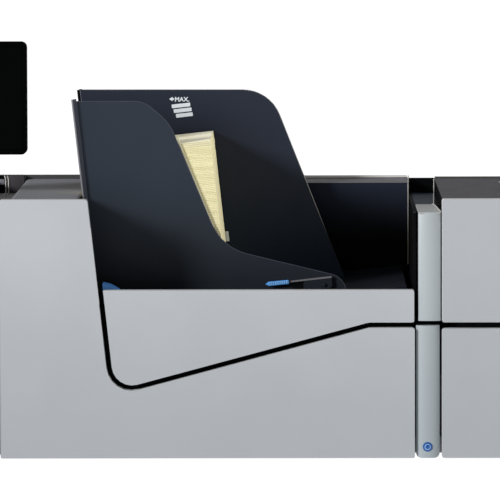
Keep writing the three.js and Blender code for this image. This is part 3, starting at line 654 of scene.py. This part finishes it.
def make_pillar_top(side):
    """Upper pillar: a bowed nose under a bevel whose lower edge follows the nose."""
    node = f"pillar_{side}_upper"
    low, high = (corner / MM for corner in map(Vector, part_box(node)))
    crest, back, shoulder, bow = -205, high.y, 301.5, PILLAR_BOW["upper"]
    half = (high.x - low.x) / 2
    radius = (half * half + bow * bow) / (2 * bow)
    reach = math.asin(half / radius)
    nose = []
    for k in range(NOSE_STEPS + 1):
        angle = -reach + 2 * reach * k / NOSE_STEPS
        x = (low.x + high.x) / 2 + radius * math.sin(angle)
        nose.append((x, low.y + radius * (1 - math.cos(angle))))
    work = bmesh.new()

    def row(points):
        return [work.verts.new(Vector(point) * MM) for point in points]

    foot = row([(x, y, low.z) for x, y in nose] + [(high.x, back, low.z), (low.x, back, low.z)])
    rim = row([(x, y, shoulder) for x, y in nose])
    ridge = row([(x, crest, high.z) for x, y in nose] + [(high.x, back, high.z), (low.x, back, high.z)])
    for lower, upper in ((foot, rim), (rim, ridge)):
        for k in range(NOSE_STEPS):
            work.faces.new((lower[k], lower[k + 1], upper[k + 1], upper[k]))
    end, right, left = NOSE_STEPS, NOSE_STEPS + 1, NOSE_STEPS + 2
    work.faces.new((foot[end], foot[right], ridge[right], ridge[end], rim[end]))
    work.faces.new((foot[left], foot[0], rim[0], ridge[0], ridge[left]))
    work.faces.new((foot[right], foot[left], ridge[left], ridge[right]))
    work.faces.new(ridge)
    work.faces.new(foot[::-1])
    bmesh.ops.recalc_face_normals(work, faces=work.faces)
    sharp = [edge for edge in work.edges if edge.calc_face_angle(0) > 0.35]
    bmesh.ops.bevel(
        work, geom=sharp, offset=0.4 * MM, segments=2, profile=0.5, affect="EDGES", clamp_overlap=True)
    mesh = finished(work, node)
    piece = as_object(node + "_finish", mesh, "pillar", "chassis")
    mesh.materials.append(MATERIALS["pillar_top"])
    for face in mesh.polygons:
        if face.normal.z > 0.5 and face.center.z / MM > shoulder + 1:
            face.material_index = 1
    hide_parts(node)


def make_right_cap():
    """Thin top plate of the right pillar, a little wider than the pillar towards the hopper."""
    left, right, wide_left = 252.2, 278.2, 249.2
    crest, back, foot, height, thickness = -205, -190.2, 301.7, 309.2, 1.6
    top = [(left, FRONT, foot), (right, FRONT, foot), (right, crest, height),
           (right, back, height), (wide_left, back, height), (wide_left, crest, height)]
    work = bmesh.new()
    upper = [work.verts.new(Vector(point) * MM) for point in top]
    lower = [work.verts.new(Vector((x, y, z - thickness)) * MM) for x, y, z in top]
    for ring, flip in ((upper, 1), (lower, -1)):
        bevel = [ring[k] for k in (0, 1, 2, 5)]
        level = [ring[k] for k in (5, 2, 3, 4)]
        work.faces.new(bevel[::flip])
        work.faces.new(level[::flip])
    for k in range(len(top)):
        after = (k + 1) % len(top)
        work.faces.new((lower[k], lower[after], upper[after], upper[k]))
    bmesh.ops.recalc_face_normals(work, faces=work.faces)
    as_object("pillar_right_cap", finished(work, "right_cap"), "pillar_top", "chassis")


def leaning(centre):
    """A point in millimetres in the magazine's leaning frame."""
    return (MAGAZINE.inverted() @ (centre * MM)) / MM


def on_flange(centre, normal):
    """Whether a face lies on a guide's left flange."""
    return abs(centre.y) > 118.6 and leaning(centre).x < 10


def on_flange_edge(centre, normal):
    """Whether a face lies on the flange's cut edge or its outer end."""
    return on_flange(centre, normal) and normal.x < 0.2 or abs(centre.y) > 124 and leaning(centre).x < 10


def on_lever_plate(centre, normal):
    """Whether a face lies on the plate under the release lever's arm."""
    return leaning(centre).z < 19.6


def make_magazine():
    """The hopper's deck, guides and levers."""
    def behind(centre, normal):
        return normal.y > -0.6

    def behind_and_low(centre, normal):
        return behind(centre, normal) and normal.z < 0.3

    # The flanges get a painted reflection and their cut edges a painted highlight.
    flange = [("guide_edge_highlight", on_flange_edge), ("guide_flange_reflection", on_flange)]
    for node, look in (("front_guide", "guide"), ("rear_guide", "guide_rear_shaded")):
        rounded(node, look, 0.5, others=flange)
    rounded("magazine_deck", "deck", 0.5)
    rounded("guide_release_lever", "rim", 0.3, others=[("guide", on_lever_plate)])
    # The levers' faces that turn away from the front get painted shade.
    rounded("release_lever_grip", "blue", 0.8, others=[("blue_shaded", behind)])
    rounded("magazine_latch_lever", "blue", 0.8, others=[("blue_shaded", behind_and_low)])
    lip = box_mesh("rear_guide_lip", (-1.4, 118.7, 230), (2.7, 120.2, 271.5), frame_matrix=MAGAZINE)
    as_object("rear_guide_lip", lip, "black", "rear_guide_set")


def make_display():
    """The screen with its housing, yoke and post."""
    rounded("display_housing", "bezel", 1.2)
    rounded("display_yoke", "black", 0.8)
    rounded("display_post", "black", 1.0)
    rounded("display_screen", "glass", 0.4)


# ---------- the envelope stack ----------

STACK_LEFT, STACK_RIGHT, STACK_HALF = 3.6, 163.2, 114.0
STACK_BASE, STACK_TOP = 3.2, 201.8
SHADED_BAND_LOW = 195.5      # above it the top envelopes' front faces are painted greyer, painted shade like the stack's dimmer top
ENVELOPES = 92
TOP_ENVELOPES = 13    # the ones that lie looser


def make_stack():
    """Envelopes lying one on another, each a little out of line; the top ones lie looser."""
    pitch = (STACK_TOP - STACK_BASE) / ENVELOPES
    envelopes = []
    for k in range(ENVELOPES):
        loose = 0.35 if k >= ENVELOPES - TOP_ENVELOPES else 0.08
        low = STACK_BASE + k * pitch
        slip = random.uniform(-loose, loose)
        depth = random.uniform(-loose, loose) * 0.8
        envelopes.append(box_mesh(
            "envelope", (STACK_LEFT + slip, -STACK_HALF + depth, low),
            (STACK_RIGHT + slip, STACK_HALF + depth, low + pitch - 0.05), 0.25, 1, MAGAZINE))
    pile = merged("envelope_pile", envelopes, "paper", "stack")
    # Painted light and shade: the tops and right ends are paler and glow, and the front faces near the top
    # are greyer.
    for look in ("paper_lit_top", "paper_lit_end", "paper_shaded_band"):
        pile.data.materials.append(MATERIALS[look])
    for face in pile.data.polygons:
        if face.normal.z > 0.6:
            face.material_index = 1
        elif face.normal.x > 0.5:
            face.material_index = 2
        elif leaning(face.center / MM).z > SHADED_BAND_LOW:
            face.material_index = 3
    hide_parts("envelope_stack")


# ---------- marks and small trim ----------


def text_mesh(words, size):
    """Upright letters, seen from the front."""
    curve = bpy.data.curves.new("letters", "FONT")
    curve.body = words
    curve.size = size * MM
    curve.extrude = 0.12 * MM
    curve.offset = 0.2 * MM
    curve.align_x = "LEFT"
    mesh = curve_mesh("letters_path", curve)
    mesh.transform(Matrix.Rotation(math.radians(90), 4, "X"))
    return mesh


def make_marks():
    """Maximum-fill mark on the inner face of the rear guide, and a small label by the stack."""
    face = 116.5
    print_front, print_back = face - 0.25, face - 0.02
    arrow = [(-3.6, 3.0), (0.6, 0.2), (0.6, 1.9), (2.4, 1.9), (2.4, 4.1), (0.6, 4.1), (0.6, 5.8)]
    spot = Matrix.Translation(in_magazine(115.8, face - 0.15, 244.0))
    meshes = [prism_mesh("arrow", arrow, "y", -0.12, 0.12, 0, spot)]
    words = text_mesh("MAX.", 7.8)
    words.transform(spot @ Matrix.Translation(Vector((3.2, 0, 0)) * MM))
    meshes.append(words)
    for left, right, low in ((114.6, 138.0, 235.4), (116.4, 139.0, 229.2), (118.6, 139.8, 223.0)):
        bar = rounded_rectangle(left, right, low, low + 4.7, 0.8)
        meshes.append(prism_mesh("bar", bar, "y", print_front, print_back, 0, MAGAZINE))
    merged("fill_mark", meshes, "label", "rear_guide_set")
    label = rounded_rectangle(162.6, 167.6, 61.5, 74.0, 0.6)
    mesh = prism_mesh("size_label", label, "y", print_front, print_back, 0, MAGAZINE)
    as_object("size_label", mesh, "label", "rear_guide_set")


# The badge's layers: name, radius, foremost y and look.
BADGE = (
    ("rim", 5.8, -224.7, "badge"),
    ("ring", 3.6, -224.83, "badge_ring"),
    ("disc", 2.8, -224.95, "badge"),
)


def make_badge():
    """Round blue badge with a light ring, low on the right pillar."""
    for part, radius, front, look in BADGE:
        mesh = prism_mesh("badge_" + part, circle(262.7, 19.6, radius), "y", front, -222.0, 0.1)
        as_object("pillar_badge_" + part, mesh, look, "chassis")


def arc_path(corners):
    """Points along corners (a, b, radius), each corner rounded."""
    points = []
    for k, (a, b, radius) in enumerate(corners):
        here = Vector((a, b))
        if not radius:
            points.append(here)
            continue
        back = (Vector(corners[k - 1][:2]) - here).normalized()
        ahead = (Vector(corners[k + 1][:2]) - here).normalized()
        half = back.angle(ahead) / 2
        reach = radius / math.tan(half)
        centre = here + (back + ahead).normalized() * radius / math.sin(half)
        start = here + back * reach - centre
        sweep = start.angle_signed(here + ahead * reach - centre)
        for step in range(9):
            turned = start.copy()
            turned.rotate(Matrix.Rotation(-sweep * step / 8, 2))
            points.append(centre + turned)
    return points


SHEET_EDGE = 279.6    # the sheet's right edge, against the right module
SHEET_LEFT = ((279.3, 187), (274.6, -20), (271.3, -189.4))    # its left edge on the bridge
SHEET_BEND = -204.6   # where it bends down over the pillar


def make_side_sheet():
    """Black sheet along the right module's left side, bent down over the pillar, with painted highlight
    beads along its left and front edges.
    """
    outline = [*SHEET_LEFT, (SHEET_EDGE, -189.4), (SHEET_EDGE, 187)]
    flat = prism_mesh("sheet_flat", outline, "z", 299.9, 300.5, 0)
    outline = [(268.8, -190.2), (271.6, SHEET_BEND), (SHEET_EDGE, SHEET_BEND), (SHEET_EDGE, -190.2)]
    corner = prism_mesh("sheet_corner", outline, "z", 308.8, 309.6, 0)
    bend = bmesh.new()
    ring = metres((271.6, SHEET_BEND, 309.6), (SHEET_EDGE, -224.6, 301.6), (SHEET_EDGE, SHEET_BEND, 309.6))
    push_out(bend, ring, Vector((0, 0, -2)) * MM)
    merged("right_sheet", [flat, corner, finished(bend, "sheet_bend")], "black", "chassis")
    # Painted highlight beads along the sheet's edges.
    edge = [(x, y, 300.8) for x, y in reversed(SHEET_LEFT)]
    rear = metres(*edge, (279.3, 189.4, 303), (279.3, 189.4, 317.5))
    swept("right_sheet_edge", rear, 0.7, "trim", "chassis")
    front = metres((268.8, -190, 309.6), (271.6, -204.8, 309.6), (279.3, -223.8, 301.8))
    swept("right_sheet_front_edge", front, 0.4, "trim_dim_highlight", "chassis")
    block("right_bridge_gap", (246.7, -189.4, 299.5), (250.5, 189, 300.5), "black", "chassis")


def make_bridge_trim():
    """Painted highlight beads at the hopper's rear corner and along the left bridge's two thin sheets, and
    the plates at their rear.
    """
    corner = metres((245.9, 149.6, 212), (245.9, 149.6, 314.8), (246.4, 170, 317.2), (247.0, 196.6, 321.2))
    swept("hopper_corner_edge", corner, 0.6, "trim_dim_highlight", "chassis")
    for name, x in (("left_sheet_edge_outer", -263.8), ("left_sheet_edge_inner", -260.2)):
        level = [(x, 120, 300.6), (x, 186, 300.6)]
        upright = [(x, 188.6, 305), (x, 188.6, 317), (x - 1.5, 190, 322.4)]
        swept(name, metres(*level, *upright), 0.75, "trim", "chassis")
    block("left_bridge_cap", (-279, 188.4, 311), (-265.4, 190.4, 318), "dark_top", "chassis")
    block("left_bridge_face", (-265.0, 189.2, 300.4), (-240.1, 190.4, 322.4), "lip_left", "chassis")


# The guides' cut edges in the leaning frame: corners with the radius of each.
FRONT_GUIDE_EDGE = [
    (307, 0.8, 0), (307, 17.7, 23), (162.4, 70.2, 63), (116.1, 228.7, 57), (88.1, 258.1, 33), (6, 267, 0)]
REAR_GUIDE_EDGE = [(305.8, 0.8, 0), (239.4, 245.2, 50), (6, 271.3, 0)]


def make_guide_edges():
    """Painted highlight beads along the guides' cut edges, and a paper-coloured one that glows where the
    front one is steep, painted light over the guide's shadow on the stack.
    """
    beads = (("front_guide", FRONT_GUIDE_EDGE, -118.3, "guide_bead_highlight"),
             ("rear_guide", REAR_GUIDE_EDGE, 116.7, "guide_line_highlight"))
    for guide, corners, y, look in beads:
        points = [in_magazine(point.x, y, point.y) for point in arc_path(corners)]
        swept(guide + "_edge", points, 0.4, look, guide + "_set")
    # Painted light: a bead that glows, just behind the steep edge, covering the guide's shadow on the
    # stack.
    low, high = Vector((157.0, 85.0)), Vector((122.0, 212.0))
    steep = [low.lerp(high, step / 6) for step in range(7)]
    bright = [in_magazine(point.x + 1.0, -115.5, point.y) for point in steep]
    swept("front_guide_painted_light_edge", bright, 1.0, "cream_painted_light", "front_guide_set")


def make_door_edge():
    """Painted highlight bead on the feeder door's right edge, which leans as the magazine does."""
    edge = [(-144.6 + (313.8 - z) * math.tan(LEAN), FRONT, z) for z in (284, 192)]
    swept("door_leaning_edge_highlight", metres(*edge), 0.5, "panel_highlight", "feeder_door")


def make_guide_side():
    """Painted highlight bead up the rear guide's left edge, above the stack."""
    side = [in_magazine(2.9, 118.2, v) for v in (230, 250, 271)]
    swept("rear_guide_left_edge_highlight", side, 0.5, "guide_edge_highlight", "rear_guide_set")


def make_button_signs():
    """A triangle on the start button and a square on the stop button."""
    triangle = [(-493.5, -189), (-493.5, -181), (-485.8, -185)]
    square = rounded_rectangle(-465.5, -458.5, -188.5, -181.5, 0.6)
    for key, outline in (("start", triangle), ("stop", square)):
        sign = prism_mesh(key + "_sign", outline, "z", 320.2, 320.6, 0.1)
        as_object(key + "_sign", sign, "nylon", key + "_key")


# ---------- mechanical pieces inside, with their own materials ----------


def make_grip_ridges():
    """Fine ridges across the release lever's blue grip."""
    ridges = []
    for k in range(9):
        u = 214.5 + k * 2.7
        bar = rounded_rectangle(u, u + 1.2, 18.8, 22.4, 0.3, 2)
        ridges.append(prism_mesh("ridge", bar, "y", -127.6, -126.8, 0.15, MAGAZINE))
    merged("grip_ridges", ridges, "blue_light", "release_lever")


def paint_inner_nodes():
    """Gives the plain CAD nodes their own materials."""
    looks = {
        "zinc": ["base_pan", "front_frame_plate", "rear_frame_plate", "power_supply"],
        "steel": ["transport_deck", "magazine_hinge_shaft", "drive_motor", "feed_shaft"],
        "rubber": ["foot_front_left", "foot_rear_left", "foot_front_right", "foot_rear_right",
                   "transport_roller_entry", "transport_roller_exit", "timing_belt", "separator_pad",
                   "feed_roller_front", "feed_roller_rear"],
        "nylon": ["motor_pulley", "front_guide_rack", "rear_guide_rack", "guide_pinion"],
        "black": ["print_head", "power_inlet", "power_switch", "catch_tray"],
        "board": ["controller_board"],
        "tank": ["fluid_tank"],
        "red": ["ink_cartridge", "stop_button"],
        "green": ["start_button"],
    }
    for look, nodes in looks.items():
        for node in nodes:
            shown = frame["nodes"][node]
            shown.data.materials.clear()
            shown.data.materials.append(MATERIALS[look])


# ---------- room, light and camera ----------


def make_floor():
    """A wide pale floor that shows almost white."""
    work = bmesh.new()
    bmesh.ops.create_grid(work, x_segments=1, y_segments=1, size=60.0)
    mesh = finished(work, "floor")
    floor = placed("floor", mesh)
    material, tree, shader = new_material("floor_pale")
    tone = mixed(tree, linear(128, 128, 128), linear(134, 134, 134), noise(tree, 0.8))
    tree.links.new(tone, shader.inputs["Base Color"])
    shader.inputs["Roughness"].default_value = 0.9
    shader.inputs["Specular IOR Level"].default_value = 0.1
    shader.inputs["Emission Color"].default_value = (1.0, 1.0, 1.0, 1.0)
    shader.inputs["Emission Strength"].default_value = 0.95
    mesh.materials.append(material)


def sun(name, azimuth, elevation, strength, spread):
    """A soft distant light from the given side: azimuth in degrees left of the front."""
    data = bpy.data.lights.new(name, "SUN")
    data.energy = strength
    data.angle = math.radians(spread)
    lamp = placed(name, data)
    side, up = math.radians(azimuth), math.radians(elevation)
    travel = Vector((math.sin(side) * math.cos(up), math.cos(side) * math.cos(up), -math.sin(up)))
    lamp.rotation_euler = travel.to_track_quat("-Z", "Y").to_euler()


def make_light():
    """A faint white room and one soft light from the front left."""
    world = bpy.data.worlds.new("studio")
    bpy.context.scene.world = world
    world.use_nodes = True
    background = world.node_tree.nodes["Background"]
    background.inputs["Color"].default_value = (1.0, 1.0, 1.0, 1.0)
    background.inputs["Strength"].default_value = 0.3
    sun("key", 50, 18.5, 3.05, 13)


def make_camera():
    """A long lens far in front and a little above, with a hair of roll."""
    place = Vector((0.1201, -7.120, 0.7484))
    target = Vector((0.0501, -0.225, 0.2569))
    data = bpy.data.cameras.new("camera")
    data.sensor_width = 36.0
    data.lens = 415.6
    data.clip_end = 200.0
    camera = placed("camera", data)
    camera.location = place
    roll = Quaternion((0, 0, 1), -0.0024)
    aim = (target - place).to_track_quat("-Z", "Y") @ roll
    camera.rotation_euler = aim.to_euler()
    bpy.context.scene.camera = camera


make_camera()
make_light()
make_floor()
make_covers()
make_tops()
make_pillar_top("left")
make_pillar_top("right")
make_right_cap()
make_screws()
make_magazine()
make_display()
make_stack()
make_marks()
make_badge()
make_side_sheet()
make_bridge_trim()
make_guide_edges()
make_door_edge()
make_guide_side()
make_button_signs()
make_grip_ridges()
paint_inner_nodes()
bpy.context.scene.view_settings.view_transform = "Standard"
